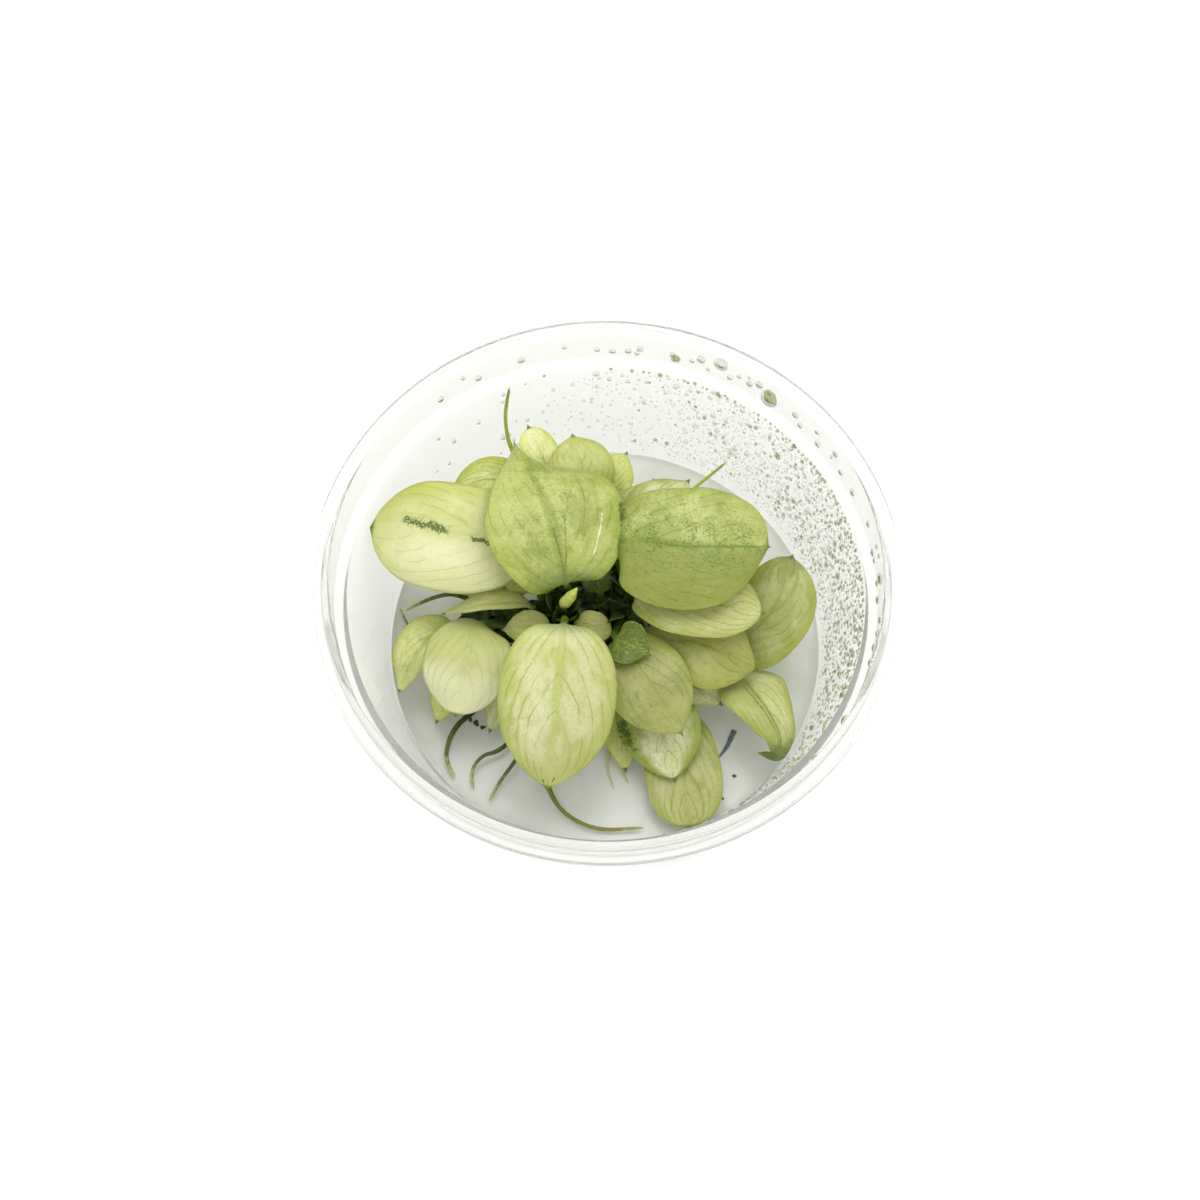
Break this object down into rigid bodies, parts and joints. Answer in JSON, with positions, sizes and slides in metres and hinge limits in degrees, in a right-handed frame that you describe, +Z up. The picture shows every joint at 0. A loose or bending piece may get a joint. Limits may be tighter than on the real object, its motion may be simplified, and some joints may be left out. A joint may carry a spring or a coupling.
{
  "type": "tissue culture aquarium plant in a cup",
  "caption": "Clump of young broad-leaved water plant with stems and roots on clear nutrient gel in an open round cup with a flange.",
  "frame": {"origin": "centre of the cup's underside, on the surface it stands on", "axes": "+Z up out of the cup's mouth, -Y towards the side the big pale front leaf points to, +X to the right of it"},
  "size_m": [0.105, 0.105, 0.045],
  "materials": {
    "cup": "clear moulded plastic, glossy",
    "gel": "translucent light grey jelly, moist",
    "stem": "fleshy green stem, satin",
    "leaf_pale": "pale cream-green leaf, waxy satin",
    "leaf_mottled": "green leaf with dark mottling, waxy satin",
    "leaf_green": "fresh green leaf, waxy satin",
    "leaf_dark": "dark green leaf, waxy satin",
    "leaf_yellow": "bright yellow-green leaf, waxy satin",
    "root": "olive root with a pale tip"
  },
  "bodies": {
    "root": {"cup": "cup", "gel": "gel", "rhizome": "stem", "shoot_left": "stem", "shoot_right": "stem", "shoot_back": "stem", "shoot_front": "stem", "shoot_far_left": "stem", "leaf_front": "leaf_pale", "leaf_back": "leaf_mottled", "leaf_left": "leaf_pale", "leaf_right": "leaf_mottled", "leaf_right_second": "leaf_pale", "leaf_right_third": "leaf_pale", "leaf_right_wall": "leaf_green", "leaf_hooked": "leaf_green", "leaf_round": "leaf_pale", "leaf_far_left": "leaf_green", "leaf_left_narrow": "leaf_green", "leaf_left_second": "leaf_pale", "leaf_left_small": "leaf_green", "leaf_crown_left": "leaf_green", "leaf_crown_right": "leaf_green", "leaf_small_dark": "leaf_dark", "leaf_front_right": "leaf_pale", "leaf_front_right_second": "leaf_green", "leaf_front_low": "leaf_pale", "leaf_right_low": "leaf_pale", "leaf_front_yellow": "leaf_yellow", "leaf_left_low": "leaf_yellow", "leaf_left_low_second": "leaf_pale", "leaf_rear_bright": "leaf_yellow", "leaf_rear_left": "leaf_green", "leaf_rear_middle": "leaf_green", "leaf_rear_yellow": "leaf_yellow", "leaf_rear_right": "leaf_pale", "leaf_rear_right_high": "leaf_pale", "leaf_yellow_folded": "leaf_yellow", "leaf_inner_low": "leaf_dark", "leaf_inner_dark": "leaf_dark", "young_leaf": "leaf_yellow", "root_rising": "root", "root_back_right": "root", "root_left": "root", "root_left_low": "root", "root_front_left": "root", "root_front_short": "root", "root_front_middle": "root", "root_front_long": "root"}
  },
  "joints": []
}
